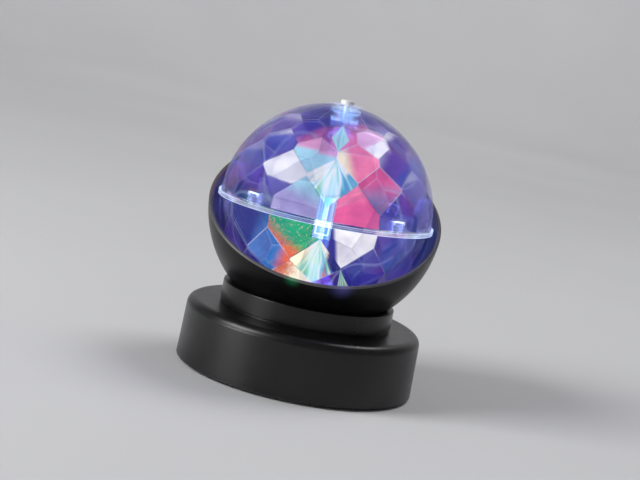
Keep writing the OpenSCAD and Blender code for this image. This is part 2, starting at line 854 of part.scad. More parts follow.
module bowl_screws() {
    color("silver") ring_of(3, bowl_boss_ring, bowl_boss_from) translate([0, 0, base_h - base_wall])
        screw(screw_head_r, screw_head_h, screw_r, screw_len);
}

module lead_pairs() {
    ring_of(3, led_ring, led_from) for (side = [-1, 1]) translate([0, side * led_r / 2, 0]) children();
}

module led_board() {
    color("#1f5a34") difference() {
        translate([0, 0, board_z]) cylinder(r = board_r, h = board_t);
        translate([0, 0, board_z - cut]) cylinder(r = post_r + board_post_gap, h = board_t + 2 * cut);
        ring_of(3, stand_ring, stand_from) translate([0, 0, board_z - cut])
            cylinder(r = small_screw_r + fit_gap, h = board_t + 2 * cut);
        lead_pairs() translate([0, 0, board_z - cut])
            cylinder(r = lead_w / 2 + fit_gap, h = board_t + 2 * cut);
    }
}

module led_board_screws() {
    color("silver") ring_of(3, stand_ring, stand_from) translate([0, 0, board_top]) rotate([180, 0, 0])
        small_screw();
}

module led_leads() {
    color("silver") lead_pairs() translate([0, 0, board_z - lead_below])
        cylinder(r = lead_w / 2, h = board_t + lead_below);
}

module led_lens(i) {
    rotate(led_from + 120 * i) translate([led_ring, 0, board_top]) {
        cylinder(r = led_flange_r, h = led_flange_h);
        cylinder(r = led_r, h = led_h - led_r);
        translate([0, 0, led_h - led_r]) sphere(led_r);
    }
}

module red_led() {
    color("red") led_lens(0);
}

module green_led() {
    color("lime") led_lens(1);
}

module blue_led() {
    color("blue") led_lens(2);
}

module led_resistors() {
    color("#c9b48a") ring_of(3, resistor_ring, resistor_from)
        translate([0, -resistor_len / 2, board_top + resistor_r]) rotate([-90, 0, 0])
            cylinder(r = resistor_r, h = resistor_len);
}

module clear_post() {
    color("#dfe8ff", 0.5) difference() {
        union() {
            translate([0, 0, post_z]) cylinder(r = post_r, h = socket_top - post_z);
            translate([0, 0, boss_z - post_flange_h]) cylinder(r = boss_r + post_flange_w, h = post_flange_h);
        }
        translate([0, 0, post_z - cut]) cylinder(r = shaft_r + thread_gap, h = shaft_grip + fit_gap + cut);
        translate([0, 0, crown_top - crown_screw_len - fit_gap])
            cylinder(r = screw_r + thread_gap, h = crown_screw_len);
    }
}

// Latitude of a row of facets above the seam, and longitude of a facet in it, from the front
function row_lat(row) = facet_step * (row + crown_rows / 2);
function facet_lon(row, column) = 360 / facet_columns * (column + (row % 2 == 0 ? 0.5 : 0)) - 90;

// The hollow of the ball: what lies inside every facet's plane
module facet_core() {
    span = 3 * ball_r;
    intersection() {
        translate([-span / 2, -span / 2, facet_r - span]) cube(span);
        intersection_for (row = [0 : facet_rows - 1])
            intersection_for (column = [0 : facet_columns - 1])
                rotate([0, -row_lat(row), facet_lon(row, column)])
                    translate([facet_r - span, -span / 2, -span / 2]) cube(span);
    }
}

// A frame that stands on the seam flange, with a window for the other half's tongue
module clip_frame() {
    bar = clip_t;
    difference() {
        translate([seam_in_r, -clip_w / 2, 0]) cube([clip_t, clip_w, clip_h]);
        translate([seam_in_r - cut, bar - clip_w / 2, seam_h + fit_gap])
            cube([clip_t + 2 * cut, clip_w - 2 * bar, clip_h - bar - seam_h - fit_gap]);
    }
}

// A tongue that hangs from the seam flange past the other half's flange, with a nib for its window
module clip_tongue() {
    tongue_w = clip_w - 2 * clip_t - 2 * fit_gap;
    tongue_r = seam_in_r - fit_gap - clip_t;
    translate([tongue_r, -tongue_w / 2, 0]) cube([clip_t + fit_gap + 1, tongue_w, seam_h]);
    translate([tongue_r, -tongue_w / 2, clip_t - clip_h]) cube([clip_t, tongue_w, clip_h]);
    translate([tongue_r, -tongue_w / 2, -seam_h - 2 * fit_gap - clip_t])
        cube([clip_t + fit_gap + clip_t / 2, tongue_w, clip_t]);
}

// One half of the ball above the seam, without its crown or mouth
module half_ball(frames_from) {
    half_turn = 180 / clip_count;
    intersection() {
        difference() {
            sphere(ball_r, $fn = ball_fn);
            facet_core();
        }
        translate([-2 * ball_r, -2 * ball_r, 0]) cube(4 * ball_r);
    }
    rotate_extrude() translate([seam_in_r, 0]) square([seam_w + seam_lip, seam_h]);
    ring_of(clip_count, 0, frames_from) clip_frame();
    ring_of(clip_count, 0, frames_from + half_turn) clip_tongue();
}

module ball_lower() {
    color("#b9c6ff", 0.35) translate([0, 0, ball_z]) difference() {
        mirror([0, 0, 1]) half_ball(-90);
        translate([0, 0, -2 * ball_r]) cylinder(r = mouth_r, h = 2 * ball_r - mouth_r);
    }
}

module ball_upper() {
    color("#b9c6ff", 0.35) translate([0, 0, ball_z]) difference() {
        union() {
            half_ball(180 / clip_count - 90);
            translate([0, 0, facet_r - boss_h]) cylinder(r = boss_r, h = boss_h + ball_wall / 2);
            translate([0, 0, facet_r - cut]) cylinder(r = crown_pad_r, h = crown_z - facet_r + cut);
        }
        translate([0, 0, facet_r - 2 * boss_h])
            cylinder(r = post_r + thread_gap, h = 2 * boss_h - socket_roof + thread_gap);
        cylinder(r = screw_r + fit_gap, h = 2 * ball_r);
    }
}

module crown_screw() {
    slot = crown_head_r / 4;
    color("silver") translate([0, 0, crown_top]) difference() {
        rotate([180, 0, 0]) screw(crown_head_r, crown_head_h, screw_r, crown_screw_len);
        translate([-crown_head_r - cut, -slot / 2, crown_head_h - slot])
            cube([2 * (crown_head_r + cut), slot, slot + cut]);
    }
}

base_shell();
base_plate();
base_screws();
rubber_feet();
battery_door();
battery_cells();
contact_springs();
contact_plates();
switch_frame();
switch_terminals();
switch_knob();
switch_screws();
gear_deck();
deck_screws();
motor_can();
motor_screws();
motor_shaft();
motor_pinion();
first_gear();
second_gear();
gear_pins();
output_gear();
spindle_shaft();
floor_bush();
neck_collar();
bowl();
bowl_screws();
led_board();
led_board_screws();
led_leads();
red_led();
green_led();
blue_led();
led_resistors();
clear_post();
ball_lower();
ball_upper();
crown_screw();
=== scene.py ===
"""Looks of the kaleidoscope lamp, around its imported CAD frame. All lengths are in metres."""

import math
from dataclasses import dataclass
from types import SimpleNamespace

import bpy
from mathutils import Matrix, Vector


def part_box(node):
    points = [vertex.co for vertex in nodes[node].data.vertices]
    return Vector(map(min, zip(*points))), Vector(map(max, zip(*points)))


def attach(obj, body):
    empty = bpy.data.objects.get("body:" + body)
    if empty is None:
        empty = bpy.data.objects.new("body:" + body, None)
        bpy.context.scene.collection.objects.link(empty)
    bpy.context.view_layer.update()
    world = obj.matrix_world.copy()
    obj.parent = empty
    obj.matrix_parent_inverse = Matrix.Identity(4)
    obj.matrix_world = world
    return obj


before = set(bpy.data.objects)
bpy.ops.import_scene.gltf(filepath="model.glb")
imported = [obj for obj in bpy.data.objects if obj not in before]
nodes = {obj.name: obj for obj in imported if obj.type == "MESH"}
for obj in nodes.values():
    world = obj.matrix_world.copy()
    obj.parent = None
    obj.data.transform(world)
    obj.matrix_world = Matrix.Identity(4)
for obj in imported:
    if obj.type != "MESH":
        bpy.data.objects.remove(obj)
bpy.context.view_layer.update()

# Sizes that the CAD source gives the ball and the bowl, with angles in degrees
BALL_CENTRE = Vector((0, 0, 0.0770579))
BALL_R = 0.0482
FACET_R = 0.045
FACET_ROWS = 5
FACET_COLUMNS = 12
ROW_START = 9.0
ROW_STEP = 14.4
SEAM_H = 0.0009
BOWL_IN_R = 0.0512
BOWL_TILT = 30.0
RIM_NORMAL = Vector((0, -math.sin(math.radians(BOWL_TILT)), math.cos(math.radians(BOWL_TILT))))

# Bounds of lit details, a little past their edges in the CAD. Heights are from the ball's centre
LIP_TOP = SEAM_H + 0.0001
LIP_LINE_W = 0.0004
CLIP_HALF_W = 0.0031
CLIP_TOP = 0.0054
CLIP_OUT_R = 0.0452
CLIP_LINE_W = 0.0007
BOSS_HEIGHTS = (0.0414, 0.0452)
BOSS_RADII = (0.0048, 0.0055)
FLANGE_HEIGHTS = (0.0404, 0.0416)
RIM_DEPTH = 0.0007
INNER_WALL_R = BOWL_IN_R + 0.0002

# Distance of the rim's spots of light from the ball's centre
SPOT_R = 0.0515

# Strength of the light that the ball's shells carry, and the share of sight that goes straight through
LIP_LIGHT = 0.28
LIP_LINE_LIGHT = 0.5
CLIP_LIGHT = 1.9
STRAIGHT_SHARE = 0.5

# Windows that the skin of light leaves open, before the clip frames and the post and round the crown
CLIP_VIEW_HALF_W = 0.0042
CLIP_VIEW_TOP = 0.0066
POST_VIEW_HALF_W = 0.0038
POST_VIEW_HEIGHTS = (0.0, 0.011)
CROWN_VIEW_START = 0.0405
CROWN_VIEW_FULL = 0.0417
OPEN_SHARE = 0.85

# Details of the light on the facets: cells seen through them, specks, fans, wisps and edge lines
SEEN_CELL_SCALE = 45.0
CUT_W = 0.014
CUT_SHARE = 0.16
SPECK_SPREAD = 9.0
SPECK_GRAINS = (0.55, 0.62)
FAN_LEAST_W = 0.0012
FAN_LENGTH_SCALE = 16.0
FAN_EDGE = (1.1, 0.9)
FAN_TONE_SHARE = 0.12
FAN_COVER = 0.85
CROWN_FAN_HEIGHT = 0.03
CROWN_FAN_TINT_SHARE = 0.5
WISP_W = 0.014
WISP_SHARE = 0.5
WISP_MOST_COVER = 0.55
LINE_SHARPNESS = 1.5
LINE_MOST = 0.95

# Distance from the cells' middle at which the jacket gives way to bare metal
JACKET_END = 0.0175


class Graph:
    """A node material that is written as nested calls."""

    def __init__(self, name):
        self.material = bpy.data.materials.new(name)
        self.material.use_nodes = True
        self.tree = self.material.node_tree
        self.tree.nodes.clear()
        self.output = self.tree.nodes.new("ShaderNodeOutputMaterial")

    def node(self, kind, inputs=None, **settings):
        made = self.tree.nodes.new("ShaderNode" + kind)
        for key, value in settings.items():
            setattr(made, key, value)
        for key, value in (inputs or {}).items():
            socket = made.inputs[key]
            if isinstance(value, bpy.types.NodeSocket):
                self.tree.links.new(value, socket)
            else:
                socket.default_value = value
        return made

    def math(self, operation, a, b=0.0, c=0.0):
        return self.node("Math", {0: a, 1: b, 2: c}, operation=operation).outputs[0]

    def vector(self, operation, a, b=(0, 0, 0)):
        made = self.node("VectorMath", {0: a, 1: b}, operation=operation)
        gives_number = operation in ("LENGTH", "DISTANCE", "DOT_PRODUCT")
        return made.outputs["Value" if gives_number else "Vector"]

    def ramp(self, value, stops):
        made = self.node("ValToRGB", {"Fac": value})
        elements = made.color_ramp.elements
        while len(elements) < len(stops):
            elements.new(1.0)
        for element, (place, colour) in zip(elements, stops):
            element.position = place
            element.color = (*colour, 1)
        return made.outputs["Color"]

    def mix(self, factor, a, b, blend="MIX"):
        a, b = (v if isinstance(v, bpy.types.NodeSocket) else (*v, 1) for v in (a, b))
        inputs = {0: factor, 6: a, 7: b}
        return self.node("Mix", inputs, data_type="RGBA", blend_type=blend).outputs[2]

    def place(self):
        return self.node("TexCoord").outputs["Object"]

    def scaled_place(self, scale):
        return self.node("Mapping", {"Vector": self.place(), "Scale": scale}).outputs[0]

    def noise(self, scale, detail=2.0, roughness=0.5, vector=None):
        vector = vector or self.place()
        inputs = {"Vector": vector, "Scale": scale, "Detail": detail, "Roughness": roughness}
        return self.node("TexNoise", inputs).outputs["Fac"]

    def fit(self, value, low, high):
        """A share from 0 to 1, laid out from low to high."""
        inputs = {"Value": value, "To Min": low, "To Max": high}
        return self.node("MapRange", inputs).outputs["Result"]

    def span(self, value, start, end, top=1.0, interpolation="LINEAR"):
        """How far value is on its way from start, as 0, to end, as top."""
        inputs = {"Value": value, "From Min": start, "From Max": end, "To Max": top}
        return self.node("MapRange", inputs, interpolation_type=interpolation).outputs["Result"]

    def bump(self, height, strength, distance):
        inputs = {"Height": height, "Strength": strength, "Distance": distance}
        return self.node("Bump", inputs).outputs["Normal"]

    def principled(self, inputs):
        return self.node("BsdfPrincipled", inputs).outputs[0]

    def finish(self, shader):
        self.tree.links.new(shader, self.output.inputs["Surface"])
        return self.material


def both(g, a, b):
    """1 where a and b are both 1."""
    return g.math("MULTIPLY", a, b)


def between(g, value, low, high):
    """1 where value lies between low and high."""
    return both(g, g.math("GREATER_THAN", value, low), g.math("LESS_THAN", value, high))


def along_edges(g, value, reach, width):
    """1 on a band of the given width that ends at reach."""
    return between(g, value, reach - width, reach)


def from_ball(g):
    """Place from the ball's centre."""
    return g.vector("SUBTRACT", g.place(), BALL_CENTRE)


def ball_place(g):
    """Place on the ball: x and z from its centre, radius, the distance from the centre, aside, the
    distance from the middle of the nearest clip frame, and across, the distance from the axis."""
    from_centre = from_ball(g)
    x, y, z = g.node("SeparateXYZ", {0: from_centre}).outputs
    radius = g.vector("LENGTH", from_centre)
    # The upper half's clip frames stand between the lower half's, an eighth of a turn apart
    eighth = math.pi / 4
    turn = g.math("ARCTAN2", x, y)
    turn = g.math("ADD", turn, g.math("MULTIPLY", g.math("GREATER_THAN", z, 0.0), eighth))
    aside = g.math("MULTIPLY", g.math("PINGPONG", turn, eighth), radius)
    across = g.vector("LENGTH", g.node("CombineXYZ", {0: x, 1: y}).outputs[0])
    return SimpleNamespace(x=x, z=z, radius=radius, aside=aside, across=across)


def plastic(name, dark, light, rough, grain, grain_depth, specular=0.4, spots=None):
    """Moulded plastic: cloudy colour, uneven gloss, a fine spark-eroded grain and spots of light."""
    g = Graph(name)
    colour = g.ramp(g.noise(60.0, detail=4.0), [(0.3, dark), (0.7, light)])
    gloss = g.fit(g.noise(240.0, detail=3.0), rough - 0.05, rough + 0.06)
    height = g.noise(grain, detail=3.0, roughness=0.6)
    inputs = {
        "Base Color": colour, "Roughness": gloss, "Specular IOR Level": specular,
        "Normal": g.bump(height, strength=0.5, distance=grain_depth),
    }
    if spots:
        inputs.update(bowl_light(g, colour, spots))
    return g.finish(g.principled(inputs))


def bowl_light(g, colour, spots):
    """Inputs of a bowl with a rim painted paler as a highlight, spots of light on the rim and a glow on
    its inner wall.
    """
    from_centre = from_ball(g)
    # The rim band is painted paler, as a highlight.
    rim_highlight_mask = g.math("GREATER_THAN", g.vector("DOT_PRODUCT", from_centre, RIM_NORMAL), -RIM_DEPTH)
    inside = g.math("LESS_THAN", g.vector("LENGTH", from_centre), INNER_WALL_R)
    glow = g.ramp(g.noise(70.0, detail=3.0), [
        (0.35, (0.006, 0.006, 0.035)), (0.65, (0.022, 0.022, 0.12)),
    ])
    glow = g.mix(inside, (0, 0, 0), glow)
    return {
        "Base Color": g.mix(rim_highlight_mask, colour, (0.1, 0.094, 0.1)),
        "Emission Color": g.mix(1.0, leaking_light(g, spots), glow, "ADD"),
        "Emission Strength": 1.0,
    }


def leaking_light(g, spots):
    """Light of each spot (centre, reach, colour), fading with the distance from its centre."""
    total = None
    for centre, reach, colour in spots:
        near = g.span(g.vector("DISTANCE", g.place(), centre), reach, 0.0)
        glow = g.mix(g.math("POWER", near, 2.0), (0, 0, 0), colour)
        total = glow if total is None else g.mix(1.0, total, glow, "ADD")
    return total


def metal(name, dark, light, rough, metallic=1.0):
    """Turned or plated metal with fine tool marks."""
    g = Graph(name)
    marks = g.noise(900.0, detail=4.0, roughness=0.6, vector=g.scaled_place((1, 1, 12)))
    return g.finish(g.principled({
        "Base Color": g.ramp(marks, [(0.25, dark), (0.75, light)]), "Metallic": metallic,
        "Roughness": g.fit(marks, rough - 0.08, rough + 0.1),
        "Normal": g.bump(marks, strength=0.15, distance=0.00005),
    }))


def lets_lamps_through(g, shader, tint):
    """Glass as it looks, and clear for the light of the lamps."""
    shadow = g.node("LightPath").outputs["Is Shadow Ray"]
    clear = g.node("BsdfTransparent", {"Color": (*tint, 1)}).outputs[0]
    return g.node("MixShader", {0: shadow, 1: shader, 2: clear}).outputs[0]


def clear_shell(name):
    """Clear polished plastic that carries light along its seam and clip frames, and up its boss."""
    g = Graph(name)
    at = ball_place(g)
    height = g.math("ABSOLUTE", at.z)
    lip_lines = along_edges(g, height, LIP_TOP, LIP_LINE_W)
    lip_light = g.math("MULTIPLY_ADD", lip_lines, LIP_LINE_LIGHT, LIP_LIGHT)
    lip = g.math("MULTIPLY", g.math("GREATER_THAN", at.radius, BALL_R), lip_light)

    uprights = along_edges(g, at.aside, CLIP_HALF_W, CLIP_LINE_W)
    bars = along_edges(g, height, CLIP_TOP, CLIP_LINE_W)
    bars = both(g, bars, g.math("LESS_THAN", at.aside, CLIP_HALF_W))
    clips = both(g, g.math("MAXIMUM", uprights, bars), g.math("LESS_THAN", height, CLIP_TOP))
    clips = both(g, clips, g.math("LESS_THAN", at.radius, CLIP_OUT_R))
    boss = both(g, between(g, at.z, *BOSS_HEIGHTS), between(g, at.across, *BOSS_RADII))

    streaks = g.noise(1.0, vector=g.scaled_place((420, 420, 20)))
    sparkle = g.fit(g.noise(130.0, detail=3.0), 0.4, 1.7)
    lit = g.math("MULTIPLY", g.math("MULTIPLY_ADD", clips, CLIP_LIGHT, lip), sparkle)
    lit = g.math("MULTIPLY_ADD", boss, g.fit(streaks, 0.05, 1.1), lit)
    tone = g.mix(boss, (0.66, 0.8, 1.0), g.ramp(streaks, [
        (0.35, (0.0, 0.3, 0.5)), (0.5, (0.04, 0.9, 0.8)), (0.64, (0.95, 0.85, 0.85)),
    ]))
    tint = g.ramp(g.noise(25.0), [(0.3, (0.93, 0.94, 1.0)), (0.7, (0.98, 0.98, 1.0))])
    glass = g.principled({
        "Base Color": tint, "Roughness": g.fit(g.noise(350.0, detail=4.0), 0.0, 0.03), "IOR": 1.2,
        "Transmission Weight": 1.0, "Emission Color": tone, "Emission Strength": lit,
    })
    straight = g.node("BsdfTransparent", {"Color": (0.96, 0.96, 1.0, 1)}).outputs[0]
    sight = g.node("MixShader", {0: STRAIGHT_SHARE, 1: glass, 2: straight}).outputs[0]
    depth = g.node("VolumeAbsorption", {"Color": (0.25, 0.22, 0.95, 1), "Density": 22.0}).outputs[0]
    g.tree.links.new(depth, g.output.inputs["Volume"])
    return g.finish(lets_lamps_through(g, sight, (0.94, 0.95, 1.0)))


def lit_post(name):
    """The clear post, with streaks of the coloured light that runs up in it and a bright flange."""
    g = Graph(name)
    at = ball_place(g)
    streaks = g.noise(1.0, vector=g.scaled_place((520, 520, 26)))
    fade = g.ramp(g.math("DIVIDE", at.z, BALL_R), [
        (0.25, (1, 1, 1)), (0.54, (0.1, 0.1, 0.1)), (0.85, (0.1, 0.1, 0.1)), (0.87, (0.4, 0.4, 0.4)),
    ])
    past_boss = g.math("GREATER_THAN", at.across, BOSS_RADII[1])
    flange = both(g, between(g, at.z, *FLANGE_HEIGHTS), past_boss)
    colour = g.ramp(streaks, [
        (0.3, (0.05, 0.3, 0.6)), (0.45, (0.25, 0.85, 0.95)),
        (0.55, (1.0, 1.0, 0.9)), (0.68, (0.4, 0.85, 0.85)),
    ])
    glass = g.principled({
        "Base Color": (0.9, 0.96, 1.0, 1), "Roughness": g.fit(g.noise(300.0), 0.02, 0.08), "IOR": 1.45,
        "Transmission Weight": 1.0, "Emission Color": colour,
        "Emission Strength": g.math("MULTIPLY_ADD", g.fit(streaks, 0.3, 2.4), fade, flange),
    })
    return g.finish(lets_lamps_through(g, glass, (0.9, 0.95, 1.0)))


def facet_inputs(g):
    """What facet_skin keeps on the points of a skin: the tones and covers of a facet's two parts,
    slope, the place across their border, the fan's seed, the share of specks, edge, which is 1 on the
    outline, and the place in the fan."""

    def attribute(key):
        return g.node("Attribute", attribute_name=key).outputs

    near, far, lay = attribute("near_tone"), attribute("far_tone"), attribute("lay")
    slope, seed, speck = g.node("SeparateColor", {0: lay["Color"]}).outputs
    aside, under_top, over_foot = g.node("SeparateXYZ", {0: attribute("ray")["Vector"]}).outputs
    return SimpleNamespace(
        near=near["Color"], near_cover=near["Alpha"], far=far["Color"], far_cover=far["Alpha"],
        slope=slope, seed=seed, speck=speck, edge=lay["Alpha"],
        aside=aside, under_top=under_top, over_foot=over_foot,
    )


def fan_of_streaks(g, facet, tone, z):
    """Where the fan of streaks on a facet is, and its colours."""
    width = g.math("MINIMUM", facet.under_top, facet.over_foot)
    across = g.math("DIVIDE", facet.aside, g.math("MAXIMUM", width, FAN_LEAST_W))
    along = g.math("MULTIPLY_ADD", width, FAN_LENGTH_SCALE, facet.seed)
    in_fan_place = g.node("CombineXYZ", {0: across, 1: along}).outputs[0]
    streaks = g.noise(2.0, detail=1.5, vector=in_fan_place)
    lines = g.ramp(streaks, [
        (0.3, (0.08, 0.36, 0.5)), (0.37, (0.1, 0.62, 0.45)), (0.44, (0.6, 0.93, 0.85)),
        (0.49, (0.97, 0.97, 0.94)), (0.54, (0.3, 0.75, 0.9)), (0.6, (0.08, 0.42, 0.75)),
        (0.65, (0.85, 0.3, 0.4)), (0.71, (0.95, 0.85, 0.9)),
    ])
    lines = g.mix(FAN_TONE_SHARE, lines, tone)
    # Warmer in the lower half, greener near the crown
    warmer = g.mix(1.0, lines, (0.95, 1.05, 0.7), "MULTIPLY")
    lines = g.mix(g.math("LESS_THAN", z, 0.0), lines, warmer)
    greener = g.math("GREATER_THAN", z, CROWN_FAN_HEIGHT)
    lines = g.mix(g.math("MULTIPLY", greener, CROWN_FAN_TINT_SHARE), lines, (0.4, 1.0, 0.8))
    in_fan = g.span(g.math("ABSOLUTE", across), *FAN_EDGE)
    return both(g, in_fan, g.math("GREATER_THAN", facet.seed, 0.0)), lines


def open_windows(g, at):
    """1 where the skin of light stays open, so that what is behind it shows."""
    by_clip = g.math("LESS_THAN", at.aside, CLIP_VIEW_HALF_W)
    by_clip = both(g, by_clip, g.math("LESS_THAN", g.math("ABSOLUTE", at.z), CLIP_VIEW_TOP))
    by_post = g.math("LESS_THAN", g.math("ABSOLUTE", at.x), POST_VIEW_HALF_W)
    by_post = both(g, by_post, between(g, at.z, *POST_VIEW_HEIGHTS))
    by_crown = g.span(at.z, CROWN_VIEW_START, CROWN_VIEW_FULL)
    return g.math("MAXIMUM", g.math("MAXIMUM", by_clip, by_post), by_crown)


def facet_light(name):
    """Coloured light on the facets inside the ball: two tones on each, a fan of streaks, specks, wisps
    and edge lines."""
    g = Graph(name)
    facet, at = facet_inputs(g), ball_place(g)
    clouds = g.noise(85.0, detail=4.0, roughness=0.6)
    grains = g.noise(1300.0, detail=3.0, roughness=0.65)
    # Flat cuts through cells of space look like other facets, seen through this one
    cells = {"Vector": g.place(), "Scale": SEEN_CELL_SCALE}
    cell = g.node("TexVoronoi", cells).outputs["Color"]
    shade, shift, gap = g.node("SeparateColor", {0: cell}).outputs
    cell_edge = g.node("TexVoronoi", cells, feature="DISTANCE_TO_EDGE").outputs["Distance"]

    drift = g.math("ADD", g.math("SUBTRACT", shift, 0.5), facet.slope)
    spread = g.math("MULTIPLY", facet.speck, SPECK_SPREAD)
    scatter = g.math("MULTIPLY", g.math("SUBTRACT", grains, 0.5), spread)
    far_share = g.span(g.math("ADD", drift, scatter), -1.0, 1.0, interpolation="SMOOTHSTEP")
    tone = g.mix(far_share, facet.near, facet.far)
    cloudy = g.ramp(clouds, [(0.3, (0.8, 0.8, 0.85)), (0.65, (1.05, 1.05, 1.04))])
    shaded = g.ramp(shade, [(0.0, (0.8, 0.8, 0.85)), (1.0, (1.1, 1.1, 1.08))])
    tone = g.mix(1.0, g.mix(1.0, tone, cloudy, "MULTIPLY"), shaded, "MULTIPLY")
    in_fan, lines = fan_of_streaks(g, facet, tone, at.z)
    tone = g.mix(in_fan, tone, lines)
    dots = g.ramp(g.noise(480.0), [
        (0.4, (0.02, 0.2, 0.06)), (0.48, (0.95, 0.85, 0.3)),
        (0.56, (0.95, 0.95, 0.7)), (0.64, (0.95, 0.16, 0.05)),
    ])
    tone = g.mix(g.math("MULTIPLY", facet.speck, g.span(grains, *SPECK_GRAINS)), tone, dots)

    open_view = open_windows(g, at)
    cover = g.mix(far_share, facet.near_cover, facet.far_cover)
    cover = g.math("MAXIMUM", cover, g.math("MULTIPLY", in_fan, FAN_COVER))
    cover = g.math("MULTIPLY", cover, g.math("MULTIPLY_ADD", open_view, -OPEN_SHARE, 1.0))
    cover = g.math("MULTIPLY", cover, g.fit(gap, 0.72, 1.12))

    ridge = g.math("ABSOLUTE", g.math("SUBTRACT", g.noise(30.0, detail=0.6), 0.5))
    wisp = g.span(ridge, WISP_W, 0.0, top=WISP_SHARE)
    wisp = g.math("MULTIPLY", wisp, g.math("LESS_THAN", cover, WISP_MOST_COVER))
    # Painted light and shade: dark and pale lines along each facet's outline and along the cells' cuts
    line = g.math("POWER", facet.edge, LINE_SHARPNESS)
    line = g.math("MULTIPLY", line, g.fit(g.noise(28.0), -0.1, 1.7))
    line = g.math("MINIMUM", g.math("MAXIMUM", line, 0.0), LINE_MOST)
    cut = g.math("MULTIPLY", g.math("LESS_THAN", cell_edge, CUT_W), CUT_SHARE)
    line = g.math("MAXIMUM", line, cut)
    line_tone = g.ramp(g.noise(42.0, detail=1.0), [
        (0.4, (0.05, 0.03, 0.2)), (0.48, (0.75, 0.84, 1.0)),
    ])
    tone = g.mix(line, g.mix(wisp, tone, (0.6, 0.72, 1.0)), line_tone)

    share = g.math("MULTIPLY", cover, g.fit(clouds, 0.7, 1.25))
    share = g.math("MINIMUM", g.math("MAXIMUM", share, g.math("MAXIMUM", line, wisp)), 1.0)
    tint = g.ramp(clouds, [(0.3, (0.27, 0.25, 0.78)), (0.7, (0.4, 0.38, 0.92))])
    tint = g.mix(open_view, tint, (0.52, 0.54, 0.84))
    clear = g.node("BsdfTransparent", {"Color": tint}).outputs[0]
    light = g.node("Emission", {"Color": tone, "Strength": 1.0}).outputs[0]
    return g.finish(g.node("MixShader", {0: share, 1: clear, 2: light}).outputs[0])


def lamp_dome(name, colour, core, low, high):
    """A light's dome: bright at its tip and deeper in colour towards its foot, from low to high."""
    g = Graph(name)
    height = g.node("SeparateXYZ", {0: g.place()}).outputs["Z"]
    return g.finish(g.principled({
        "Base Color": (*colour, 1), "Roughness": g.fit(g.noise(500.0), 0.08, 0.2),
        "Emission Color": g.ramp(g.span(height, low, high), [(0.4, colour), (1.0, core)]),
        "Emission Strength": g.fit(g.noise(300.0), 2.0, 3.0),
    }))


def board_green(name):
    """A light board: solder mask over the dim lines of its copper."""
    g = Graph(name)
    cells = {"Vector": g.place(), "Scale": 420.0}
    edges = g.node("TexVoronoi", cells, feature="DISTANCE_TO_EDGE").outputs["Distance"]
    colour = g.ramp(edges, [(0.04, (0.05, 0.3, 0.12)), (0.1, (0.02, 0.12, 0.05))])
    return g.finish(g.principled({"Base Color": colour, "Roughness": g.fit(g.noise(200.0), 0.25, 0.4)}))


def cell_jacket(name):
    """A cell's plain dark jacket with a satin foil finish, and bare metal at its ends."""
    g = Graph(name)
    along = g.node("SeparateXYZ", {0: g.place()}).outputs["X"]
    bare = g.ramp(g.noise(180.0, detail=4.0), [(0.35, (0.32, 0.33, 0.35)), (0.7, (0.5, 0.51, 0.53))])
    end = g.math("GREATER_THAN", g.math("ABSOLUTE", along), JACKET_END)
    return g.finish(g.principled({
        "Base Color": g.mix(end, (0.06, 0.065, 0.075), bare), "Metallic": 0.6,
        "Roughness": g.fit(g.noise(260.0), 0.28, 0.42),
    }))


def lacquer(name):
    """A resistor's beige lacquer with darker bands around it."""
    g = Graph(name)
    rings = g.node("TexWave", {"Vector": g.place(), "Scale": 190.0, "Distortion": 0.4}).outputs["Fac"]
    colour = g.ramp(rings, [
        (0.35, (0.62, 0.5, 0.3)), (0.75, (0.5, 0.38, 0.2)), (0.9, (0.2, 0.05, 0.03)),
    ])
    return g.finish(g.principled({"Base Color": colour, "Roughness": g.fit(g.noise(400.0), 0.3, 0.45)}))


def pale_floor(name):
    """The stage's matte, slightly cloudy pale grey."""
    g = Graph(name)
    tone = g.ramp(g.noise(3.0), [(0.3, (0.64, 0.64, 0.655)), (0.7, (0.67, 0.67, 0.68))])
    return g.finish(g.principled({"Base Color": tone, "Roughness": 0.85, "Specular IOR Level": 0.1}))


def rim_point(turn):
    """Point of the bowl's rim, turned from its low front by an angle."""
    turn, tilt = math.radians(turn), math.radians(BOWL_TILT)
    front = Vector((0, -math.cos(tilt), -math.sin(tilt)))
    return BALL_CENTRE + SPOT_R * (math.sin(turn) * Vector((1, 0, 0)) + math.cos(turn) * front)


# Spots of light that leaks out onto the rim: centre, reach and colour
RIM_SPOTS = [
    (rim_point(-9), 0.0052, (0.01, 0.2, 0.07)),
    (rim_point(15), 0.008, (0.05, 0.05, 0.2)),
]

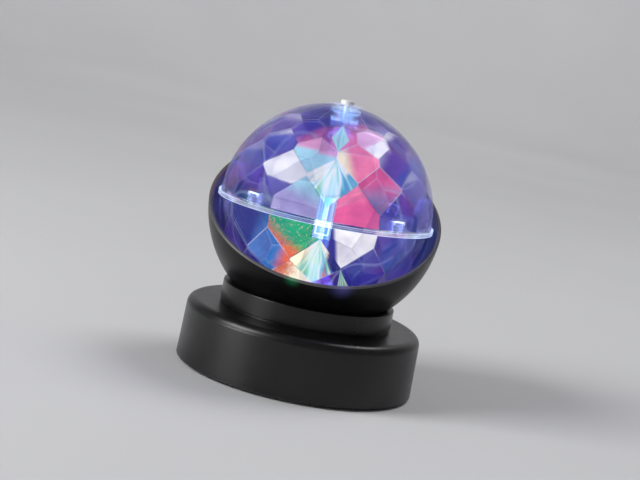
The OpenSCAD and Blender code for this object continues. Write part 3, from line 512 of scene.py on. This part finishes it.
BLACK = (0.0025, 0.0025, 0.0028)
SOOT = (0.0055, 0.0055, 0.006)
COAL = (0.01, 0.01, 0.011)
SLATE = (0.018, 0.018, 0.019)
TYRE = (0.008, 0.008, 0.008)
DUST = (0.02, 0.02, 0.02)
IVORY = (0.72, 0.71, 0.65)
CREAM = (0.82, 0.8, 0.75)
LAMP_FOOT, LAMP_TIP = (corner[2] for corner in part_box("red_led"))
looks = {
    "black_satin": plastic(
        "black_satin", BLACK, SOOT, rough=0.31, grain=1900.0, grain_depth=0.0001, specular=0.42,
    ),
    "black_bowl": plastic(
        "black_bowl", BLACK, SOOT, rough=0.33, grain=3000.0, grain_depth=0.00004, specular=0.22,
        spots=RIM_SPOTS,
    ),
    "black_gloss": plastic(
        "black_gloss", BLACK, SOOT, rough=0.29, grain=3200.0, grain_depth=0.00002, specular=0.36,
    ),
    "black_matte": plastic("black_matte", COAL, SLATE, rough=0.55, grain=1800.0, grain_depth=0.00008),
    "rubber": plastic(
        "foot_rubber", TYRE, DUST, rough=0.8, grain=1500.0, grain_depth=0.0001, specular=0.25,
    ),
    "white": plastic("white_plastic", IVORY, CREAM, rough=0.45, grain=1600.0, grain_depth=0.00004),
    "steel": metal("zinc_steel", (0.5, 0.5, 0.5), (0.72, 0.72, 0.7), rough=0.3),
    "can": metal("motor_steel", (0.45, 0.46, 0.48), (0.6, 0.61, 0.62), rough=0.34),
    "brass": metal("brass", (0.6, 0.42, 0.14), (0.8, 0.62, 0.28), rough=0.3),
    "nub": metal("crown_nickel", (0.8, 0.78, 0.72), (0.92, 0.9, 0.85), rough=0.5, metallic=0.1),
    "shell": clear_shell("clear_shell"),
    "post": lit_post("clear_post"),
    "cells": cell_jacket("cell_jacket"),
    "board": board_green("board"),
    "resistor": lacquer("resistor"),
    "red": lamp_dome("red_light", (1.0, 0.05, 0.03), (1.0, 0.6, 0.5), LAMP_FOOT, LAMP_TIP),
    "green": lamp_dome("green_light", (0.05, 1.0, 0.15), (0.7, 1.0, 0.7), LAMP_FOOT, LAMP_TIP),
    "blue": lamp_dome("blue_light", (0.1, 0.12, 1.0), (0.6, 0.65, 1.0), LAMP_FOOT, LAMP_TIP),
}
worn_by = {
    "black_satin": ["base_shell"],
    "black_bowl": ["bowl"],
    "black_gloss": ["neck_collar"],
    "black_matte": ["base_plate", "battery_door", "switch_knob"],
    "rubber": ["rubber_feet"],
    "white": ["gear_deck", "first_gear", "second_gear", "output_gear"],
    "steel": [
        "base_screws", "contact_springs", "contact_plates", "switch_frame", "switch_screws",
        "deck_screws", "motor_screws", "motor_shaft", "gear_pins", "spindle_shaft", "bowl_screws",
        "led_board_screws", "led_leads",
    ],
    "can": ["motor_can"],
    "brass": ["switch_terminals", "motor_pinion", "floor_bush"],
    "nub": ["crown_screw"],
    "shell": ["ball_upper", "ball_lower"],
    "post": ["clear_post"],
    "cells": ["battery_cells"],
    "board": ["led_board"],
    "resistor": ["led_resistors"],
    "red": ["red_led"],
    "green": ["green_led"],
    "blue": ["blue_led"],
}
for look, wearers in worn_by.items():
    for wearer in wearers:
        nodes[wearer].data.materials.clear()
        nodes[wearer].data.materials.append(looks[look])

# Tones of the light, as they show on a facet
WHITE = (1.2, 1.17, 1.1)
FROST = (0.92, 0.93, 0.95)
PEARL = (0.45, 0.45, 0.7)
CYAN = (0.2, 0.62, 0.88)
PALE_CYAN = (0.5, 0.88, 1.0)
PINK = (0.92, 0.15, 0.37)
ROSE = (1.25, 0.32, 0.53)
BLUSH = (1.15, 0.55, 0.8)
MAUVE = (0.55, 0.5, 0.85)
GREEN = (0.03, 0.55, 0.22)
ORANGE = (0.95, 0.16, 0.06)
LEMON = (1.3, 1.16, 0.78)
AZURE = (0.04, 0.22, 0.6)
PLUM = (0.3, 0.07, 0.42)
VIOLET = (0.09, 0.08, 0.45)
NIGHT = (0.03, 0.04, 0.24)


@dataclass
class Light:
    """Light on a facet. near and far are the tone and the cover of its two parts, way is the direction
    towards the far part in degrees from level right, start and soft are the place and the half-width
    of the border in shares of the facet's reach, fan is the half-width of its fan of streaks per
    length, lean is how far the fan goes to the right per length, and speck is the share of specks."""

    near: tuple
    far: tuple
    way: float = 0
    start: float = 0
    soft: float = 0.3
    fan: float = 0
    lean: float = 0
    speck: float = 0


# Lights of the facets, by their row up from the seam and their longitude from the front
FACET_LIGHTS = {
    (1, -15): Light((MAUVE, 0.9), (PALE_CYAN, 0.85), way=75, start=0.35),
    (1, 15): Light((ROSE, 0.92), (PINK, 0.95), way=-75, start=-0.35),
    (1, -45): Light((NIGHT, 0.6), (VIOLET, 0.5), way=60),
    (1, 45): Light((VIOLET, 0.45), (NIGHT, 0.6), way=-60),
    (2, -30): Light((FROST, 0.97), (VIOLET, 0.5), way=265, start=0.42, soft=0.08),
    (2, 0): Light((WHITE, 0.9), (CYAN, 0.85), way=-20, start=0.3, soft=0.1, fan=0.9),
    (2, 30): Light((PINK, 0.9), (PEARL, 0.4), way=-80, start=0.25, soft=0.45),
    # Painted glints: the pale corners of facets (2, -60), (3, -45) and (4, -60), near the ball's
    # outline
    (2, -60): Light((VIOLET, 0.45), (PEARL, 0.85), way=100, start=0.4, soft=0.12),
    (3, -45): Light((VIOLET, 0.45), (FROST, 0.7), way=110, start=0.5, soft=0.1),
    (3, -15): Light((BLUSH, 0.7), (PALE_CYAN, 0.92), way=-90, start=-0.05, soft=0.12),
    (3, 15): Light((LEMON, 0.9), (ROSE, 0.88), way=10, start=-0.45, soft=0.25),
    (3, 45): Light((PEARL, 0.75), (VIOLET, 0.55), way=-40, start=-0.4),
    (4, 0): Light((ROSE, 0.3), (ROSE, 0.8), way=-40, start=0.1, fan=0.47),
    (4, 30): Light((ROSE, 0.5), (FROST, 0.9), way=-60, start=0.1, soft=0.12),
    (4, -30): Light((VIOLET, 0.4), (ROSE, 0.4), way=-35, start=0.4),
    (4, -60): Light((VIOLET, 0.5), (FROST, 0.8), way=100, start=0.3, soft=0.15),
    (5, 15): Light((BLUSH, 0.35), (ROSE, 0.45), way=-80, start=0.2),
    (5, 45): Light((MAUVE, 0.5), (PEARL, 0.6), way=-20),
    (-1, -15): Light((GREEN, 0.95), (ORANGE, 0.9), way=235, start=0.3, soft=0.25, speck=0.45),
    (-1, 15): Light((VIOLET, 0.6), (WHITE, 0.97), way=15, start=-0.38, soft=0.08),
    (-1, -45): Light((NIGHT, 1.3), (AZURE, 0.9), way=-20, start=0.5),
    (-1, 45): Light((VIOLET, 0.55), (NIGHT, 0.5), way=-30, start=0.2),
    (-2, -30): Light((AZURE, 1.0), (ORANGE, 0.9), way=-25, start=0.5, speck=0.15),
    (-2, 0): Light((LEMON, 0.95), (NIGHT, 0.7), way=-5, start=0.3, soft=0.1, fan=0.5, speck=0.2),
    (-2, 30): Light((VIOLET, 0.5), (VIOLET, 0.6)),
    (-3, -15): Light((LEMON, 0.95), (ORANGE, 0.9), way=160, start=0.2, speck=0.5),
    (-3, 15): Light((PLUM, 0.6), (VIOLET, 0.5), start=-0.2, fan=0.26, lean=0.45),
}
# Lights of the other facets, in turn
REST_LIGHTS = [
    Light((VIOLET, 0.55), (NIGHT, 0.65), way=70, start=0.1, soft=0.5),
    Light((NIGHT, 0.65), (VIOLET, 0.5), way=200, soft=0.5),
]
# The front's lights come back this many times round the ball
SIDES = 3

# Fans on the rows above this one close again towards their foot
CROWN_ROW = 3
FAN_SEED_STEP = 0.37
LEAST_FAN = 0.01

# Sizes of the skins of light
LIGHT_R = FACET_R - 0.0001
SEAM_CLEAR = SEAM_H + 0.0003
MOUTH_CLEAR = 0.0405
EDGE_W = 0.00039
MOST_EDGE_SHARE = 0.3


def towards(lat, lon):
    """Direction on the ball, with the longitude counted from the front."""
    lat, lon = math.radians(lat), math.radians(lon)
    return Vector((math.cos(lat) * math.sin(lon), -math.cos(lat) * math.cos(lon), math.sin(lat)))


def light_of(row, lon, count):
    """The light of a facet: the front's lights come back on each side of the ball."""
    side_turn = 360 / SIDES
    front_lon = (lon + side_turn / 2) % side_turn - side_turn / 2
    return FACET_LIGHTS.get((row, front_lon), REST_LIGHTS[count % len(REST_LIGHTS)])


def clip(polygon, normal, distance):
    """The part of a flat polygon that lies behind a plane."""
    kept = []
    for a, b in zip(polygon, polygon[1:] + polygon[:1]):
        da, db = normal.dot(a) - distance, normal.dot(b) - distance
        if da <= 0:
            kept.append(a)
        if da * db < 0:
            kept.append(a.lerp(b, da / (da - db)))
    return kept


def facet_aims(side):
    """Row, longitude and direction of each facet in one half of the ball: side 1 is the upper half."""
    aims = []
    for row in range(FACET_ROWS):
        lat = side * (ROW_START + ROW_STEP * row)
        first = 0.5 if row % 2 == 0 else 0
        for column in range(FACET_COLUMNS):
            lon = 360 / FACET_COLUMNS * (column + first)
            aims.append((side * (row + 1), lon, towards(lat, lon)))
    return aims


def facet_outline(normal, level, rise, cuts):
    """A square in a facet's plane, cut down by planes (normal, distance)."""
    square = ((-1, -1), (1, -1), (1, 1), (-1, 1))
    outline = [normal * LIGHT_R + (level * a + rise * b) * FACET_R for a, b in square]
    for plane, distance in cuts:
        outline = clip(outline, plane, distance)
    return outline


def facet_skin(name, side):
    """A skin of light just inside the facets of one half of the ball: side 1 is the upper half."""
    aims = facet_aims(side)
    cap = Vector((0, 0, side))
    limits = [(cap, MOUTH_CLEAR if side < 0 else LIGHT_R), (-cap, -SEAM_CLEAR)]
    points, faces = [], []
    near_tones, far_tones, lays, rays = [], [], [], []
    for count, (row, lon, normal) in enumerate(aims):
        level = Vector((0, 0, 1)).cross(normal).normalized()
        rise = normal.cross(level)
        cuts = [(other, LIGHT_R) for _, _, other in aims if other is not normal] + limits
        outline = facet_outline(normal, level, rise, cuts)
        if len(outline) < 3:
            continue
        middle = sum(outline, Vector()) / len(outline)
        distances = [(p - middle).length for p in outline]
        reach = max(distances)
        edge_share = min(MOST_EDGE_SHARE, EDGE_W / min(distances))
        inner = [p.lerp(middle, edge_share) for p in outline]
        heights = [p.dot(rise) for p in outline]
        top, foot = max(heights), min(heights)
        light = light_of(row, lon, count)
        way = math.radians(light.way)
        far_way = level * math.cos(way) + rise * math.sin(way)
        seed = 1 + count * FAN_SEED_STEP if light.fan else 0.0

        first, number = len(points), len(outline)
        for p, edge in [(p, 1.0) for p in outline] + [(p, 0.0) for p in inner]:
            points.append(p)
            near_tones.append((*light.near[0], light.near[1]))
            far_tones.append((*light.far[0], light.far[1]))
            slope = ((p - middle).dot(far_way) / reach - light.start) / light.soft
            lays.append((slope, seed, light.speck, edge))
            under_top = top - p.dot(rise)
            over_foot = p.dot(rise) - foot if row > CROWN_ROW else 1.0
            aside = (p - middle).dot(level) - light.lean * under_top
            rays.append((aside / max(light.fan, LEAST_FAN), under_top, over_foot))
        faces.append([first + number + i for i in range(number)])
        for i in range(number):
            j = (i + 1) % number
            faces.append([first + i, first + j, first + number + j, first + number + i])

    mesh = bpy.data.meshes.new(name)
    mesh.from_pydata([p + BALL_CENTRE for p in points], [], faces)
    for key, values in (("near_tone", near_tones), ("far_tone", far_tones), ("lay", lays)):
        layer = mesh.attributes.new(key, "FLOAT_COLOR", "POINT")
        layer.data.foreach_set("color", [x for v in values for x in v])
    layer = mesh.attributes.new("ray", "FLOAT_VECTOR", "POINT")
    layer.data.foreach_set("vector", [x for v in rays for x in v])
    mesh.materials.append(skin_light)
    skin = bpy.data.objects.new(name, mesh)
    bpy.context.scene.collection.objects.link(skin)
    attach(skin, "ball")


skin_light = facet_light("facet_light")
facet_skin("facet_light_upper", 1)
facet_skin("facet_light_lower", -1)

# Stage: a round pale floor that curves up into a wall
STAGE_R = 2.2
STAGE_BEND_R = 0.8
WALL_TOP = 2.5
FLOOR_RINGS = 4
BEND_STEPS = 16
SECTORS = 72


def stage_mesh():
    """The stage's section, turned about the upright axis."""
    section = [(STAGE_R * i / FLOOR_RINGS, 0.0) for i in range(1, FLOOR_RINGS + 1)]
    for i in range(1, BEND_STEPS + 1):
        a = math.radians(90 * i / BEND_STEPS)
        section.append((STAGE_R + STAGE_BEND_R * math.sin(a), STAGE_BEND_R * (1 - math.cos(a))))
    section.append((STAGE_R + STAGE_BEND_R, WALL_TOP))
    turns = [math.tau * k / SECTORS for k in range(SECTORS)]
    points = [(0, 0, 0)]
    points += [(r * math.cos(turn), r * math.sin(turn), z) for r, z in section for turn in turns]
    faces = [(0, 1 + k, 1 + (k + 1) % SECTORS) for k in range(SECTORS)]
    for i in range(len(section) - 1):
        ring = 1 + i * SECTORS
        for k in range(SECTORS):
            after = (k + 1) % SECTORS
            faces.append((ring + k, ring + SECTORS + k, ring + SECTORS + after, ring + after))
    mesh = bpy.data.meshes.new("floor")
    mesh.from_pydata(points, [], faces)
    for polygon in mesh.polygons:
        polygon.use_smooth = True
    return mesh


floor = bpy.data.objects.new("floor", stage_mesh())
floor.data.materials.append(pale_floor("pale_floor"))
bpy.context.scene.collection.objects.link(floor)

world = bpy.data.worlds.new("studio")
bpy.context.scene.world = world
world.use_nodes = True
sky = world.node_tree.nodes["Background"]
sky.inputs["Color"].default_value = (0.95, 0.96, 1.0, 1)
sky.inputs["Strength"].default_value = 0.15


def area_light(name, place, target, size, power):
    """A soft lamp at a place, turned to its target. size is its width and height, power is in watts."""
    lamp = bpy.data.lights.new(name, "AREA")
    lamp.shape = "RECTANGLE"
    lamp.size, lamp.size_y = size
    lamp.energy = power
    made = bpy.data.objects.new(name, lamp)
    made.location = place
    made.rotation_mode = "QUATERNION"
    made.rotation_quaternion = (Vector(target) - Vector(place)).to_track_quat("-Z", "Y")
    bpy.context.scene.collection.objects.link(made)


area_light("side", (-1.65, -0.89, 0.13), target=(0, 0, 0.03), size=(0.85, 0.24), power=10.5)
area_light("key", (-1.32, -0.6, 1.0), target=(0, 0, 0.07), size=(0.74, 0.74), power=20.5)
area_light("overhead", (0.55, 0.47, 1.32), target=(0, 0, 0.07), size=(0.58, 0.58), power=8.0)
area_light("backdrop", (0, 1.6, 1.5), target=(0, 2.8, 0.5), size=(2.6, 0.5), power=14.0)

# Camera: fitted to the photo's circles, rolled as the photo is. The sensor is in millimetres
CAMERA_TARGET = Vector((0, 0, 0.06))
CAMERA_DISTANCE = 0.66957
CAMERA_RISE = math.radians(8.62)
CAMERA_ROLL = math.radians(11.48)
CAMERA_PITCH = 0.0047
FOCAL_PIXELS = 1479.2
IMAGE_W = 640
SENSOR = 36.0

eye = CAMERA_TARGET + CAMERA_DISTANCE * Vector((0, -math.cos(CAMERA_RISE), math.sin(CAMERA_RISE)))
forward = (CAMERA_TARGET - eye).normalized()
right = Vector((1, 0, 0))
forward = (forward + CAMERA_PITCH * right.cross(forward)).normalized()
rolled_right = math.cos(CAMERA_ROLL) * right + math.sin(CAMERA_ROLL) * right.cross(forward)
rolled_up = rolled_right.cross(forward)
lens = bpy.data.cameras.new("camera")
lens.sensor_width = SENSOR
lens.lens = FOCAL_PIXELS / IMAGE_W * SENSOR
lens.clip_start = 0.05
camera = bpy.data.objects.new("camera", lens)
axes = Matrix((rolled_right, rolled_up, -forward)).transposed().to_4x4()
camera.matrix_world = Matrix.Translation(eye) @ axes
bpy.context.scene.collection.objects.link(camera)
bpy.context.scene.camera = camera
bpy.context.scene.view_settings.view_transform = "Standard"
